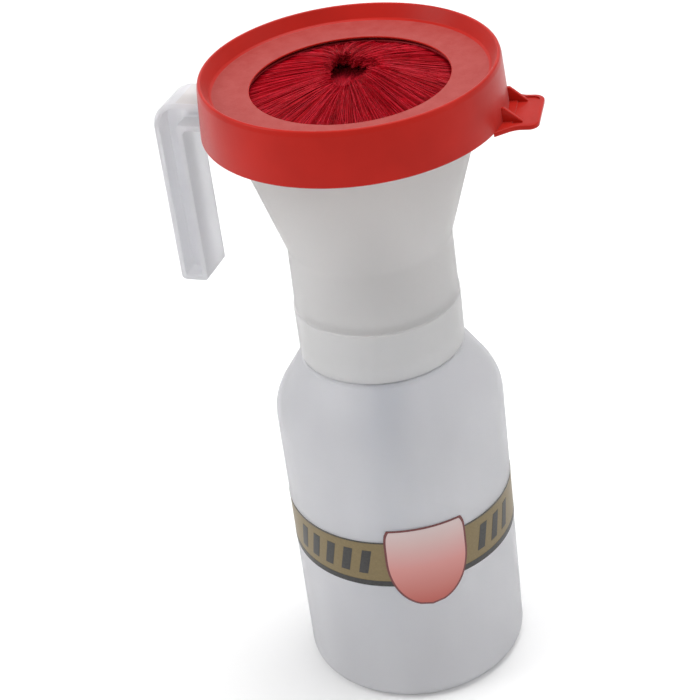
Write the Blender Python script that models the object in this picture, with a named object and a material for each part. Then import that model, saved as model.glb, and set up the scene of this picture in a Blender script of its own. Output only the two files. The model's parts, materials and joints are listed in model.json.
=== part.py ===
"""Squeeze dip cup with a brush ring.

A soft squeeze bottle with a threaded neck carries a flared cup with a hanging hook. A leaning dip tube
and a standpipe feed the cup from the bottle. A snap lid over the cup's rim holds a ring of bristles that
point inwards to a small hole.

Frame: +Z is the axis of the bottle and points up. The origin is the middle of the base, on the surface
that the bottle stands on. The hook is at -X. Sizes below are in millimetres and degrees; every mesh is
built in metres by scaling with MM.
"""

import math

import bmesh
import bpy
from mathutils import Matrix, Vector

MM = 0.001
GAP = 0.3              # space between pieces that touch on the real object
SEGMENTS = 36          # flats round a turned piece

# Bottle
BODY_RADIUS = 35.0
BODY_WALL = 1.2
HEEL_RADIUS = 4.0
BASE_RECESS = 0.9      # depth of the ring-shaped recess in the base
SHOULDER_START = 93.0  # height where the side starts to turn in
SHOULDER_ARC = 14.0
SHOULDER_TURN = 35     # degrees of bend before the side runs on as a straight cone
COLLAR_FOOT = 112.8    # the cone ends in a short collar, flush with the cup's skirt
LEDGE_RADIUS = 24.9    # flat ledge at the foot of the neck
LEDGE_HEIGHT = 114.2
NECK_RADIUS = 21.4
NECK_BORE = 19.8
NECK_TOP = 128.5

# Screw thread of the neck and the cup's skirt
THREAD_PITCH = 4.2
THREAD_TURNS = 1.5
THREAD_START = 119.3   # height of the neck thread's first turn
NECK_CREST = 22.7
SKIRT_CREST = 21.9
THREAD_ROOT_WIDTH = 1.7
THREAD_CREST_WIDTH = 0.8

# Printed band
BAND_BOTTOM = 46.9
BAND_TOP = 63.8
BAND_THICKNESS = 0.3

# Cup
SKIRT_BOTTOM = 114.6
SKIRT_RADIUS = 24.95
SKIRT_BORE = 23.2
SEAM_HEIGHT = 131.1
FLOOR_BOTTOM = 130.5
FLOOR_TOP = 132.3
CUP_RADIUS = 24.3      # outside, where the cone starts
CUP_WALL = 1.3
CONE_START = 150.9
CONE_SLOPE = 0.299     # growth of the radius per unit of height
FLANGE_BOTTOM = 196.0
FLANGE_TOP = 197.6
FLANGE_RADIUS = 41.0
SPIGOT_RADIUS = 3.6
SPIGOT_BORE = 2.2
SPIGOT_BOTTOM = 119.0
SPIGOT_TOP = 140.0

# Hook on the side of the cup, an H-section strap bent down
HOOK_TOP = 193.6
HOOK_BOTTOM = 134.3
HOOK_REACH = 60.1      # axis of the bottle to the outside of the leg
HOOK_DEPTH = 8.8       # outer to inner flange
HOOK_WIDTH = 13.7
HOOK_FLANGE = 1.8
HOOK_WEB = 2.0
HOOK_BEND = 8.0        # outside radius of the bend

# Seal, standpipe and dip tube
SEAL_THICKNESS = 1.4
PIPE_RADIUS = 6.5
PIPE_BORE = 3.9
PIPE_TOP = 151.0
PIPE_PORT_RADIUS = 1.6
TUBE_RADIUS = 4.9
TUBE_BORE = 3.9
TUBE_FOOT = (-9.9, -4.1, 5.0)

# Lid
LID_SKIRT_BOTTOM = 189.3
LID_SKIRT_RADIUS = 43.6
LID_RIM_RADIUS = 42.5
LID_TOP = 205.4
MOUTH_RADIUS = 28.3
MOUTH_TOP = 200.6
PLATE_THICKNESS = 1.3
PLATE_SLOPE = 0.04     # rise of the plate per unit of radius
LIP_INSIDE = 40.1      # the lip stands round the plate, from this radius out to the rim
SNAP_HEIGHT = 195.0    # low bead inside the skirt, just under the cup's flange
NOTCH_HALF_WIDTH = 7.7  # the skirt's notch for the hook
NOTCH_TOP = 194.3
NOTCH_OUTSIDE = 46.0   # the notch's cutter spans these radii, clear of the skirt's wall
NOTCH_INSIDE = 38.0
TAB_AZIMUTH = 8.8
TAB_REACH = 53.0
TAB_WIDTH = 19.5
TAB_TOP = 189.9
TAB_THICKNESS = 1.5
TAB_ROOT = 42.5        # radius inside the skirt's wall where the tab and its gussets start
GUSSET_OFFSET = 6.5
GUSSET_THICKNESS = 1.2
GUSSET_FOOT = 47.5     # radius where a gusset meets the tab
GUSSET_HEAD = (43.4, 193.8)  # radius and height where a gusset meets the skirt

# Brush ring
CHANNEL_MOUTH = 29.2
CHANNEL_BACK = 34.0
CHANNEL_BOTTOM = 194.2
CHANNEL_TOP = 199.0
CHANNEL_WALL = 0.6
CARRIER_FLANGE = 1.4
WIRE_RING_RADIUS = 31.8
WIRE_RADIUS = 0.7
BRUSH_HEIGHT = 196.6
TUFT_COUNT = 16
TUFT_PIVOT_RADIUS = 26.2
TUFT_PIVOT_HEIGHT = 196.8
TUFT_ROOT = 1.9        # half the thickness at the root
TUFT_TIP = 1.4         # half the thickness at the tip
TUFT_RISE = 10.0       # slope of the bristles at rest
TUFT_SIDE_GAP = 0.7    # wide enough for all tufts to swing together
HOLE_OFFSET = 2.0      # the hole is a little off the axis
HOLE_AZIMUTH = 169.0
HOLE_RADIUS = 4.8


def clear_scene():
    for old in list(bpy.data.objects):
        bpy.data.objects.remove(old, do_unlink=True)


def plastic(name, color, roughness, metallic=0.0, transmission=0.0):
    material = bpy.data.materials.new(name)
    material.use_nodes = True
    shader = material.node_tree.nodes["Principled BSDF"]
    shader.inputs["Base Color"].default_value = (*color, 1.0)
    shader.inputs["Roughness"].default_value = roughness
    shader.inputs["Metallic"].default_value = metallic
    shader.inputs["Transmission Weight"].default_value = transmission
    return material


def arc(center_r, center_z, radius, start, end, steps):
    """Points (r, z) on an arc; angles in degrees, 0 along +r and 90 along +z."""
    points = []
    for step in range(steps + 1):
        angle = math.radians(start + (end - start) * step / steps)
        points.append((center_r + radius * math.cos(angle), center_z + radius * math.sin(angle)))
    return points


def finish_object(name, bm, material, matrix=None):
    """Close the bmesh into an object with outward faces, smooth except at real edges."""
    bmesh.ops.remove_doubles(bm, verts=bm.verts, dist=1e-7)
    bmesh.ops.recalc_face_normals(bm, faces=bm.faces)
    mesh = bpy.data.meshes.new(name)
    bm.to_mesh(mesh)
    bm.free()
    mesh.shade_smooth()
    mesh.set_sharp_from_angle(angle=math.radians(32))
    obj = bpy.data.objects.new(name, mesh)
    bpy.context.scene.collection.objects.link(obj)
    if material is not None:
        mesh.materials.append(material)
    if matrix is not None:
        obj.matrix_world = matrix
    return obj


def turned(name, profile, material, segments=SEGMENTS):
    """Spin a closed (r, z) outline about the Z axis."""
    bm = bmesh.new()
    verts = [bm.verts.new((r * MM, 0.0, z * MM)) for r, z in profile]
    edges = [bm.edges.new((verts[i - 1], verts[i])) for i in range(len(verts))]
    bmesh.ops.spin(bm, geom=verts + edges, cent=(0, 0, 0), axis=(0, 0, 1),
                   angle=math.tau, steps=segments, use_merge=True)
    return finish_object(name, bm, material)


def bridged(name, rings, material, cyclic=False):
    """Join a row of equal rings into a closed body, with end caps unless the row is cyclic."""
    bm = bmesh.new()
    rows = [[bm.verts.new(Vector(point) * MM) for point in ring] for ring in rings]
    count = len(rows[0])
    spans = len(rows) if cyclic else len(rows) - 1
    for i in range(spans):
        here = rows[i]
        there = rows[(i + 1) % len(rows)]
        for j in range(count):
            k = (j + 1) % count
            bm.faces.new((here[j], here[k], there[k], there[j]))
    if not cyclic:
        bm.faces.new(rows[0][::-1])
        bm.faces.new(rows[-1])
    return finish_object(name, bm, material)


def slab(name, outline, low, high, material=None, matrix=None):
    """Extrude a closed (x, z) outline along Y from low to high."""
    bm = bmesh.new()
    near = [bm.verts.new((x * MM, low * MM, z * MM)) for x, z in outline]
    far = [bm.verts.new((x * MM, high * MM, z * MM)) for x, z in outline]
    count = len(outline)
    for i in range(count):
        k = (i + 1) % count
        bm.faces.new((near[i], near[k], far[k], far[i]))
    bm.faces.new(near[::-1])
    bm.faces.new(far)
    return finish_object(name, bm, material, matrix)


def guide(obj):
    """Mark an object as a modelling aid that isn't a piece."""
    obj.hide_render = True
    obj.display_type = 'WIRE'
    return obj


def combine(obj, other, operation):
    modifier = obj.modifiers.new(operation.title(), 'BOOLEAN')
    modifier.operation = operation
    modifier.object = guide(other)


def thread_ridge(name, wall_radius, crest_radius, start_height):
    """A helical ridge of trapezoid section whose ends run out into the wall."""
    steps = round(THREAD_TURNS * SEGMENTS)
    run_out = 3
    outward = 1.0 if crest_radius > wall_radius else -1.0
    buried = wall_radius - outward * 0.5
    rings = []
    for step in range(steps + 1):
        angle = math.tau * step / SEGMENTS
        height = start_height + THREAD_PITCH * step / SEGMENTS
        rise = min(1.0, step / run_out, (steps - step) / run_out)
        crest = buried + (crest_radius - buried) * (0.12 + 0.88 * rise)
        section = (
            (buried, height - THREAD_ROOT_WIDTH / 2),
            (crest, height - THREAD_CREST_WIDTH / 2),
            (crest, height + THREAD_CREST_WIDTH / 2),
            (buried, height + THREAD_ROOT_WIDTH / 2),
        )
        rings.append([(r * math.cos(angle), r * math.sin(angle), z) for r, z in section])
    return bridged(name, rings, None)


def cone_radius(height):
    """Outside radius of the cup's cone."""
    return CUP_RADIUS + CONE_SLOPE * (height - CONE_START)


def make_bottle(milky):
    heel_r = BODY_RADIUS - HEEL_RADIUS
    arc_r = BODY_RADIUS - SHOULDER_ARC
    floor = BODY_WALL
    profile = [(0, 0), (8, 0), (9.5, BASE_RECESS), (22.5, BASE_RECESS), (24, 0)]
    profile += arc(heel_r, HEEL_RADIUS, HEEL_RADIUS, -90, 0, 4)
    profile += arc(arc_r, SHOULDER_START, SHOULDER_ARC, 0, SHOULDER_TURN, 5)
    profile += [(LEDGE_RADIUS, COLLAR_FOOT), (LEDGE_RADIUS, LEDGE_HEIGHT)]
    profile += [(NECK_RADIUS + 0.8, LEDGE_HEIGHT), (NECK_RADIUS, LEDGE_HEIGHT + 0.8)]
    profile += [(NECK_RADIUS, NECK_TOP - 0.6), (NECK_RADIUS - 0.5, NECK_TOP), (NECK_BORE, NECK_TOP)]
    profile += [(NECK_BORE, LEDGE_HEIGHT - 0.2), (NECK_BORE + 1.0, LEDGE_HEIGHT - BODY_WALL)]
    profile += [(LEDGE_RADIUS - 1.6, LEDGE_HEIGHT - BODY_WALL)]
    profile += arc(arc_r, SHOULDER_START, SHOULDER_ARC - BODY_WALL, SHOULDER_TURN, 0, 5)
    profile += arc(heel_r, HEEL_RADIUS, HEEL_RADIUS - BODY_WALL, 0, -90, 3)
    profile += [(24.4, floor), (22.6, floor + BASE_RECESS), (9.4, floor + BASE_RECESS), (7.6, floor)]
    profile += [(0, floor)]
    bottle = turned("bottle", profile, milky)
    ridge = thread_ridge("neck_thread_guide", NECK_RADIUS, NECK_CREST, THREAD_START)
    combine(bottle, ridge, 'UNION')
    return bottle


def make_print_band(ink):
    low = BODY_RADIUS + GAP
    high = low + BAND_THICKNESS
    profile = [(low, BAND_BOTTOM), (high, BAND_BOTTOM), (high, BAND_TOP), (low, BAND_TOP)]
    return turned("print_band", profile, ink)


def make_neck_seal(foam):
    bottom = NECK_TOP + GAP
    top = bottom + SEAL_THICKNESS
    inner = NECK_BORE + 0.1
    outer = SKIRT_BORE - 0.5
    return turned("neck_seal", [(inner, bottom), (outer, bottom), (outer, top), (inner, top)], foam)


def hook_outline(inset, root_low, root_high):
    """Outline (x, z) of the hook, moved in by the inset, from the cup out along the arm and down."""
    reach = HOOK_REACH - inset
    top = HOOK_TOP - inset
    bottom = HOOK_BOTTOM + inset
    arm_bottom = HOOK_TOP - HOOK_DEPTH + inset
    leg_inside = HOOK_REACH - HOOK_DEPTH + inset
    bend_r = HOOK_REACH - HOOK_BEND
    bend_z = HOOK_TOP - HOOK_BEND
    end_round = 1.5
    points = [(root_high, top)]
    points += arc(bend_r, bend_z, HOOK_BEND - inset, 90, 0, 6)
    points += arc(reach - end_round, bottom + end_round, end_round, 0, -90, 2)
    points += arc(leg_inside + end_round, bottom + end_round, end_round, -90, -180, 2)
    points += arc(leg_inside - end_round, arm_bottom - end_round, end_round, 0, 90, 3)
    points += [(root_low, arm_bottom)]
    return [(-x, z) for x, z in points]


def make_hook_guide():
    """The strap with a pocket in each side, which leaves two flanges and a web between them."""
    in_wall = 0.7
    arm_low = HOOK_TOP - HOOK_DEPTH
    outline = hook_outline(0.0, cone_radius(arm_low) - in_wall, cone_radius(HOOK_TOP) - in_wall)
    hook = slab("hook_guide", outline, -HOOK_WIDTH / 2, HOOK_WIDTH / 2)
    pocket_start = cone_radius(HOOK_TOP) + 1.6
    pocket = hook_outline(HOOK_FLANGE, pocket_start - 1.2, pocket_start)
    depth = HOOK_WIDTH / 2 + 1.0
    combine(hook, slab("hook_pocket_near_guide", pocket, -depth, -HOOK_WEB / 2), 'DIFFERENCE')
    combine(hook, slab("hook_pocket_far_guide", pocket, HOOK_WEB / 2, depth), 'DIFFERENCE')
    return hook


def make_cup(milky):
    wall_across = CUP_WALL * math.hypot(1.0, CONE_SLOPE)
    cone_top = cone_radius(FLANGE_BOTTOM)
    lip = cone_radius(FLANGE_TOP) - wall_across
    bore_top = CUP_RADIUS - CUP_WALL
    profile = [(SPIGOT_BORE, SPIGOT_BOTTOM), (SPIGOT_RADIUS - 0.4, SPIGOT_BOTTOM)]
    profile += [(SPIGOT_RADIUS, SPIGOT_BOTTOM + 1.0), (SPIGOT_RADIUS, FLOOR_BOTTOM)]
    profile += [(SKIRT_BORE, FLOOR_BOTTOM), (SKIRT_BORE, SKIRT_BOTTOM + 0.8)]
    profile += [(SKIRT_BORE + 0.4, SKIRT_BOTTOM), (SKIRT_RADIUS - 0.4, SKIRT_BOTTOM)]
    profile += [(SKIRT_RADIUS, SKIRT_BOTTOM + 0.4), (SKIRT_RADIUS, SEAM_HEIGHT - 0.3)]
    profile += [(CUP_RADIUS + 0.3, SEAM_HEIGHT + 0.3), (CUP_RADIUS, CONE_START - 1.5)]
    profile += [(cone_radius(CONE_START + 1.5), CONE_START + 1.5), (cone_top, FLANGE_BOTTOM)]
    profile += [(FLANGE_RADIUS - 0.3, FLANGE_BOTTOM), (FLANGE_RADIUS, FLANGE_BOTTOM + 0.3)]
    profile += [(FLANGE_RADIUS, FLANGE_TOP - 0.3), (FLANGE_RADIUS - 0.3, FLANGE_TOP)]
    profile += [(lip + 0.4, FLANGE_TOP), (lip - 0.1, FLANGE_TOP - 0.5)]
    profile += [(bore_top + 0.4, CONE_START + 1.6), (bore_top, CONE_START - 1.3)]
    profile += [(bore_top, FLOOR_TOP + 1.0), (bore_top - 1.0, FLOOR_TOP)]
    profile += [(SPIGOT_RADIUS, FLOOR_TOP), (SPIGOT_RADIUS, SPIGOT_TOP), (SPIGOT_BORE, SPIGOT_TOP)]
    cup = turned("cup", profile, milky)
    ridge = thread_ridge("skirt_thread_guide", SKIRT_BORE, SKIRT_CREST, THREAD_START - THREAD_PITCH / 2)
    combine(cup, ridge, 'UNION')
    combine(cup, make_hook_guide(), 'UNION')
    return cup


def make_standpipe(milky):
    bottom = FLOOR_TOP + GAP
    crown = 1.5
    profile = [(PIPE_BORE, bottom), (PIPE_RADIUS, bottom), (PIPE_RADIUS, PIPE_TOP - 1.0)]
    profile += [(PIPE_RADIUS - 1.0, PIPE_TOP), (0, PIPE_TOP), (0, PIPE_TOP - crown)]
    profile += [(PIPE_BORE, PIPE_TOP - crown)]
    pipe = turned("standpipe", profile, milky, 24)
    port_height = (SPIGOT_TOP + PIPE_TOP) / 2
    for name, turn in (("port_x_guide", 'Y'), ("port_y_guide", 'X')):
        bm = bmesh.new()
        bmesh.ops.create_cone(bm, cap_ends=True, segments=10, radius1=PIPE_PORT_RADIUS * MM,
                              radius2=PIPE_PORT_RADIUS * MM, depth=4 * PIPE_RADIUS * MM)
        place = Matrix.Translation((0, 0, port_height * MM)) @ Matrix.Rotation(math.radians(90), 4, turn)
        combine(pipe, finish_object(name, bm, None, place), 'DIFFERENCE')
    return pipe


def make_dip_tube(blue):
    """A tube that hangs from the spigot, bends gently and leans to one side of the bottle."""
    top = Vector((0, 0, FLOOR_BOTTOM - GAP))
    straight_end = Vector((0, 0, SPIGOT_BOTTOM - 2))
    foot = Vector(TUBE_FOOT)
    sides = 12
    steps = 14
    path = [top]
    for step in range(steps + 1):
        t = step / steps
        height = straight_end.z + (foot.z - straight_end.z) * t
        drift = t ** 1.3
        path.append(Vector((foot.x * drift, foot.y * drift, height)))

    def ring(center, radius):
        """Level rings, so that both ends of the tube stay flat."""
        angles = [math.tau * j / sides for j in range(sides)]
        return [(center.x + radius * math.cos(a), center.y + radius * math.sin(a), center.z)
                for a in angles]

    rings = [ring(center, TUBE_RADIUS) for center in path]
    rings += [ring(center, TUBE_BORE) for center in reversed(path)]
    return bridged("dip_tube", rings, blue, cyclic=True)


def plate_height(radius):
    """Height of the lid's plate."""
    return MOUTH_TOP + PLATE_SLOPE * (radius - MOUTH_RADIUS)


def make_lid(red):
    """The plate presses the brush carrier down on the cup's flange, and the lip stands above it."""
    under_mouth = MOUTH_TOP - PLATE_THICKNESS
    skirt_in_bottom = LID_SKIRT_RADIUS - 1.5
    skirt_in_top = LID_RIM_RADIUS - 1.2
    under_plate = plate_height(skirt_in_top) - PLATE_THICKNESS
    profile = [(skirt_in_bottom, LID_SKIRT_BOTTOM), (LID_SKIRT_RADIUS, LID_SKIRT_BOTTOM)]
    profile += [(LID_RIM_RADIUS + 0.1, LID_TOP - 1.0), (LID_RIM_RADIUS - 0.3, LID_TOP - 0.2)]
    profile += [(LID_RIM_RADIUS - 0.7, LID_TOP), (LID_RIM_RADIUS - 1.5, LID_TOP - 0.3)]
    profile += [(LIP_INSIDE + 0.2, LID_TOP - 1.4), (LIP_INSIDE, LID_TOP - 2.2)]
    profile += [(LIP_INSIDE - 0.1, plate_height(LIP_INSIDE))]
    profile += [(MOUTH_RADIUS + 0.4, plate_height(MOUTH_RADIUS + 0.4))]
    profile += [(MOUTH_RADIUS, MOUTH_TOP - 0.3), (MOUTH_RADIUS, under_mouth)]
    profile += [(skirt_in_top - 0.6, under_plate), (skirt_in_top, under_plate - 0.6)]
    profile += [(skirt_in_top + 0.1, SNAP_HEIGHT + 0.6), (skirt_in_top - 0.05, SNAP_HEIGHT)]
    profile += [(skirt_in_top + 0.4, SNAP_HEIGHT - 0.6)]
    lid = turned("lid_ring", profile, red)

    notch_foot = LID_SKIRT_BOTTOM - 2
    notch = [(-NOTCH_OUTSIDE, notch_foot), (-NOTCH_INSIDE, notch_foot)]
    notch += [(-NOTCH_INSIDE, NOTCH_TOP), (-NOTCH_OUTSIDE, NOTCH_TOP)]
    combine(lid, slab("hook_notch_guide", notch, -NOTCH_HALF_WIDTH, NOTCH_HALF_WIDTH), 'DIFFERENCE')

    turn = Matrix.Rotation(math.radians(TAB_AZIMUTH), 4, 'Z')
    combine(lid, make_tab_guide(turn), 'UNION')
    buried = TAB_TOP - 0.5
    gusset = [(TAB_ROOT + 0.1, buried), (GUSSET_FOOT, buried), (GUSSET_FOOT, TAB_TOP)]
    gusset += [GUSSET_HEAD, (TAB_ROOT + 0.1, GUSSET_HEAD[1])]
    for side in (-1, 1):
        low = side * GUSSET_OFFSET - GUSSET_THICKNESS / 2
        high = low + GUSSET_THICKNESS
        combine(lid, slab(f"gusset_{side}_guide", gusset, low, high, None, turn), 'UNION')
    return lid


def make_tab_guide(turn):
    """A flat paddle with round corners, at the foot of the skirt."""
    corner = 3.0
    half = TAB_WIDTH / 2
    outline = [(TAB_ROOT, -half)]
    outline += arc(TAB_REACH - corner, -half + corner, corner, -90, 0, 4)
    outline += arc(TAB_REACH - corner, half - corner, corner, 0, 90, 4)
    outline += [(TAB_ROOT, half)]
    rings = [[(x, y, z) for x, y in outline] for z in (TAB_TOP - TAB_THICKNESS, TAB_TOP)]
    tab = bridged("tab_guide", rings, None)
    tab.matrix_world = turn
    return tab


def make_brush_carrier(black):
    flange_bottom = FLANGE_TOP + GAP
    flange_top = flange_bottom + CARRIER_FLANGE
    shelf_top = CHANNEL_BOTTOM - GAP
    wall = CHANNEL_BACK + GAP
    profile = [(CHANNEL_MOUTH + 1.3, shelf_top - 0.8), (wall + 0.7, shelf_top - 0.8)]
    profile += [(wall + 1.8, flange_bottom), (FLANGE_RADIUS - 0.1, flange_bottom)]
    profile += [(FLANGE_RADIUS - 0.1, flange_top), (wall, flange_top), (wall, shelf_top)]
    profile += [(CHANNEL_MOUTH + 1.3, shelf_top)]
    return turned("brush_carrier", profile, black)


def make_brush_channel(steel):
    inner_back = CHANNEL_BACK - CHANNEL_WALL
    profile = [(CHANNEL_MOUTH, CHANNEL_BOTTOM), (CHANNEL_BACK, CHANNEL_BOTTOM)]
    profile += [(CHANNEL_BACK, CHANNEL_TOP), (CHANNEL_MOUTH, CHANNEL_TOP)]
    profile += [(CHANNEL_MOUTH, CHANNEL_TOP - CHANNEL_WALL), (inner_back, CHANNEL_TOP - CHANNEL_WALL)]
    profile += [(inner_back, CHANNEL_BOTTOM + CHANNEL_WALL), (CHANNEL_MOUTH, CHANNEL_BOTTOM + CHANNEL_WALL)]
    return turned("brush_channel", profile, steel)


def make_core_wire(steel):
    return turned("brush_core_wire", arc(WIRE_RING_RADIUS, BRUSH_HEIGHT, WIRE_RADIUS, 0, 315, 7), steel)


def make_bristle_roots(crimson):
    """The filaments' clamped roots, folded round the core wire, with the fold open to the middle."""
    face = (TUFT_PIVOT_RADIUS + TUFT_ROOT) / math.cos(math.pi / TUFT_COUNT) + GAP
    half = (CHANNEL_TOP - CHANNEL_BOTTOM) / 2 - CHANNEL_WALL - GAP
    back = CHANNEL_BACK - CHANNEL_WALL - GAP
    slit = 0.15
    around = WIRE_RADIUS + GAP
    profile = [(face, BRUSH_HEIGHT + slit), (face, BRUSH_HEIGHT + half)]
    profile += arc(back - half, BRUSH_HEIGHT, half, 90, -90, 6)
    profile += [(face, BRUSH_HEIGHT - half), (face, BRUSH_HEIGHT - slit)]
    profile += arc(WIRE_RING_RADIUS, BRUSH_HEIGHT, around, -171, 171, 8)
    return turned("bristle_roots", profile, crimson)


def hole_edge(azimuth):
    """Distance from the axis to the edge of the off-centre hole, along an azimuth in degrees."""
    angle = math.radians(azimuth - HOLE_AZIMUTH)
    across = HOLE_OFFSET * math.sin(angle)
    return HOLE_OFFSET * math.cos(angle) + math.sqrt(HOLE_RADIUS ** 2 - across ** 2)


def make_tuft(number, crimson):
    """A sector of bristles with its origin on its bending axis and its round root behind that axis."""
    azimuth = 360.0 * (number - 0.5) / TUFT_COUNT
    length = TUFT_PIVOT_RADIUS - hole_edge(azimuth)
    spread = math.tan(math.pi / TUFT_COUNT)
    side_profile = arc(0, 0, TUFT_ROOT, 90, 270, 6)
    side_profile += [(length * 0.5, -TUFT_ROOT + 0.1), (length, -TUFT_TIP + 0.6), (length + 0.2, 0)]
    side_profile += [(length, TUFT_TIP), (length * 0.5, TUFT_ROOT)]
    rings = []
    for side in (-1, 1):
        ring = []
        for x, z in side_profile:
            half_width = (TUFT_PIVOT_RADIUS - x) * spread - TUFT_SIDE_GAP / 2
            ring.append((x, side * half_width, z))
        rings.append(ring)
    tuft = bridged(f"bristle_tuft_{number:02d}", rings, crimson)
    out = Vector((math.cos(math.radians(azimuth)), math.sin(math.radians(azimuth)), 0))
    pivot = out * TUFT_PIVOT_RADIUS + Vector((0, 0, TUFT_PIVOT_HEIGHT))
    facing = Matrix.Rotation(math.radians(azimuth + 180), 4, 'Z')
    rise = Matrix.Rotation(-math.radians(TUFT_RISE), 4, 'Y')
    tuft.matrix_world = Matrix.Translation(pivot * MM) @ facing @ rise
    return tuft


def main():
    clear_scene()
    milky = plastic("milky_plastic", (0.80, 0.82, 0.84), 0.38, transmission=0.35)
    ink = plastic("printed_ink", (0.50, 0.42, 0.30), 0.45)
    foam = plastic("seal_foam", (0.86, 0.86, 0.84), 0.80)
    blue = plastic("tube_plastic", (0.58, 0.70, 0.82), 0.35, transmission=0.30)
    red = plastic("red_plastic", (0.72, 0.045, 0.035), 0.30)
    black = plastic("carrier_plastic", (0.30, 0.02, 0.02), 0.45)
    steel = plastic("steel", (0.62, 0.62, 0.62), 0.30, metallic=1.0)
    crimson = plastic("bristle_nylon", (0.50, 0.012, 0.035), 0.42)

    make_bottle(milky)
    make_print_band(ink)
    make_neck_seal(foam)
    make_cup(milky)
    make_standpipe(milky)
    make_dip_tube(blue)
    make_lid(red)
    make_brush_carrier(black)
    make_brush_channel(steel)
    make_core_wire(steel)
    make_bristle_roots(crimson)
    for number in range(1, TUFT_COUNT + 1):
        make_tuft(number, crimson)


main()
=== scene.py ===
"""Looks of the squeeze dip cup: milky bottle and cup, red snap lid, crimson brush ring, printed band.

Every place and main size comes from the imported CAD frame. Small details are offsets from it, written in
millimetres and scaled to metres with MM. +Z is the axis of the bottle, and the hook is at -X.
"""

import json
import math

import bmesh
import bpy
import numpy as np
from mathutils import Matrix, Vector


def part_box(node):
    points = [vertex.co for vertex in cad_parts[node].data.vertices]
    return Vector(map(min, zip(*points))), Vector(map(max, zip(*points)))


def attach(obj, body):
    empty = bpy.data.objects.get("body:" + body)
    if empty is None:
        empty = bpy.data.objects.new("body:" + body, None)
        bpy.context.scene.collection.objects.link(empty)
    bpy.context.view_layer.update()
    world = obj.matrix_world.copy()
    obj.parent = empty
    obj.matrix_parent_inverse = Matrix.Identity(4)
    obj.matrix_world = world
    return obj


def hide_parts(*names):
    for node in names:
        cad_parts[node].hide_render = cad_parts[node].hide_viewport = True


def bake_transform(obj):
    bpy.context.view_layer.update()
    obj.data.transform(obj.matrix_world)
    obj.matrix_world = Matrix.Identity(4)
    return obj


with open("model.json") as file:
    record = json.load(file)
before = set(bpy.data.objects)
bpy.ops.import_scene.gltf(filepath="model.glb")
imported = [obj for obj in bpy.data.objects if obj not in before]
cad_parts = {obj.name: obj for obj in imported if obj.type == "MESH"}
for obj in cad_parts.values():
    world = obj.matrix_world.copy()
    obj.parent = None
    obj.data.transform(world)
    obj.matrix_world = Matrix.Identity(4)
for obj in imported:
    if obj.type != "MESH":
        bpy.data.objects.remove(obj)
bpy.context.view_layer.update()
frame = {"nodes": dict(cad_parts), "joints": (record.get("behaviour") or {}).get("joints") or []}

MM = 0.001
ROUND = 160  # flats round a large turned piece


# ---------------------------------------------------------------- sizes from the frame, in millimetres

def node_box(node):
    low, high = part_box(node)
    return low / MM, high / MM


_, bottle_high = node_box("bottle")
cup_low, cup_high = node_box("cup")
lid_low, lid_high = node_box("lid_ring")
band_low, band_high = node_box("print_band")
seal_low, seal_high = node_box("neck_seal")
pipe_low, pipe_high = node_box("standpipe")
tube_low, tube_high = node_box("dip_tube")
_, carrier_high = node_box("brush_carrier")
channel_low, channel_high = node_box("brush_channel")
wire_low, wire_high = node_box("brush_core_wire")

BODY_RADIUS = bottle_high.y
NECK_TOP = bottle_high.z
FLANGE_RADIUS = cup_high.y
FLANGE_TOP = cup_high.z
SPIGOT_BOTTOM = cup_low.z
HOOK_REACH = -cup_low.x
LID_TOP = lid_high.z
LID_SKIRT_RADIUS = lid_high.y
JOINTS = {joint["name"]: joint for joint in frame["joints"]}


# ---------------------------------------------------------------- mesh helpers

def rounded(corners, steps=5):
    """A closed outline of (x, y) or (x, y, fillet) corners, with each fillet turned into an arc."""
    points = []
    count = len(corners)
    for i, corner in enumerate(corners):
        here = Vector(corner[:2])
        fillet = corner[2] if len(corner) > 2 else 0.0
        before = Vector(corners[i - 1][:2]) - here
        after = Vector(corners[(i + 1) % count][:2]) - here
        opening = before.angle(after)
        if fillet <= 0.0 or opening > math.pi - 0.02:
            points.append(here)
            continue
        cut = fillet / math.tan(opening / 2)
        cut = min(cut, 0.48 * before.length, 0.48 * after.length)
        radius = cut * math.tan(opening / 2)
        start = here + before.normalized() * cut
        end = here + after.normalized() * cut
        bisector = (before.normalized() + after.normalized()).normalized()
        middle = here + bisector * radius / math.sin(opening / 2)
        first = start - middle
        last = end - middle
        sweep = first.angle_signed(last)
        for step in range(steps + 1):
            turn = Matrix.Rotation(-sweep * step / steps, 2)
            points.append(middle + turn @ first)
    return points


def arc(center, radius, start, end, steps):
    """Points on an arc; angles in degrees, 0 along the first axis and 90 along the second."""
    angles = [math.radians(start + (end - start) * step / steps) for step in range(steps + 1)]
    return [(center[0] + radius * math.cos(a), center[1] + radius * math.sin(a)) for a in angles]


def new_object(name, bm, materials, sharp=40):
    """A bmesh in millimetres becomes an object in metres, with outward faces and smooth shading."""
    bmesh.ops.remove_doubles(bm, verts=bm.verts, dist=1e-4)
    bmesh.ops.recalc_face_normals(bm, faces=bm.faces)
    bmesh.ops.scale(bm, vec=(MM, MM, MM), verts=bm.verts)
    mesh = bpy.data.meshes.new(name)
    bm.to_mesh(mesh)
    bm.free()
    mesh.shade_smooth()
    mesh.set_sharp_from_angle(angle=math.radians(sharp))
    for material in materials:
        mesh.materials.append(material)
    obj = bpy.data.objects.new(name, mesh)
    bpy.context.scene.collection.objects.link(obj)
    return obj


def turned(name, outline, materials, segments=ROUND):
    """Spin a closed (r, z) outline about the axis of the bottle."""
    bm = bmesh.new()
    verts = [bm.verts.new((point[0], 0.0, point[1])) for point in outline]
    edges = [bm.edges.new((verts[i - 1], verts[i])) for i in range(len(verts))]
    bmesh.ops.spin(bm, geom=verts + edges, cent=(0, 0, 0), axis=(0, 0, 1),
                   angle=math.tau, steps=segments, use_merge=True)
    return new_object(name, bm, materials)


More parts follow.
